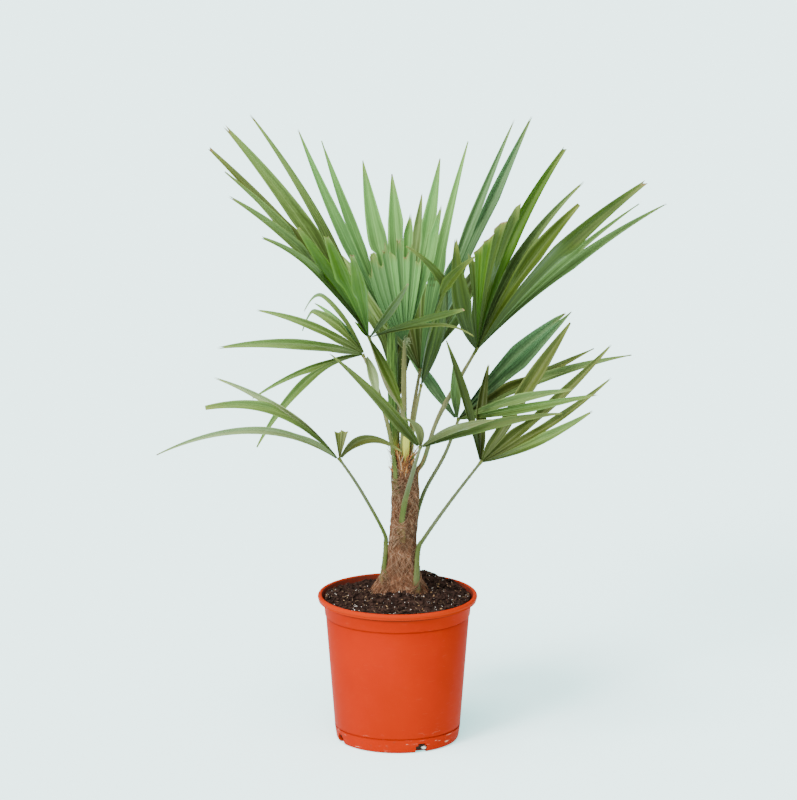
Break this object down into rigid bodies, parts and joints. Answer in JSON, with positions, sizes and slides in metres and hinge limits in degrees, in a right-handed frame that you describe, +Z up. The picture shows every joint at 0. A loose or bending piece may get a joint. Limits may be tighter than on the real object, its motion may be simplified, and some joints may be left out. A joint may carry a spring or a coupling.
{
  "type": "potted windmill palm",
  "caption": "Potted windmill palm: a fibrous tapering trunk with fan leaves on slender stalks, standing in soil in a round orange plastic nursery pot.",
  "frame": {"origin": "centre of the flat underside of the pot", "axes": "+Z up along the pot's axis, -Y towards the front as pictured, +X to the right"},
  "size_m": [0.6659, 0.5459, 0.8416],
  "materials": {
    "pot": "orange plastic with a soft sheen",
    "soil": "dark crumbly soil",
    "trunk": "matted brown fibre",
    "stalk": "smooth green leaf stalk",
    "leaf": "pleated green leaf with a soft sheen",
    "young_leaf": "pale green young leaf"
  },
  "bodies": {
    "root": {"pot": "pot", "soil": "soil", "trunk": "trunk", "spear_leaf": "young_leaf", "upper_left_stalk": "stalk", "upper_left_blade": "leaf", "upper_right_stalk": "stalk", "upper_right_blade": "leaf", "top_stalk": "stalk", "top_blade": "leaf", "top_back_stalk": "stalk", "top_back_blade": "leaf", "top_front_stalk": "stalk", "top_front_blade": "leaf", "lower_right_stalk": "stalk", "lower_right_blade": "leaf", "right_stalk": "stalk", "right_blade": "leaf", "front_stalk": "stalk", "front_blade": "leaf", "lower_left_stalk": "stalk", "lower_left_blade": "leaf", "left_stalk": "stalk", "left_blade": "leaf", "back_left_stalk": "stalk", "back_left_blade": "leaf", "back_right_stalk": "stalk", "back_right_blade": "leaf"}
  },
  "joints": []
}
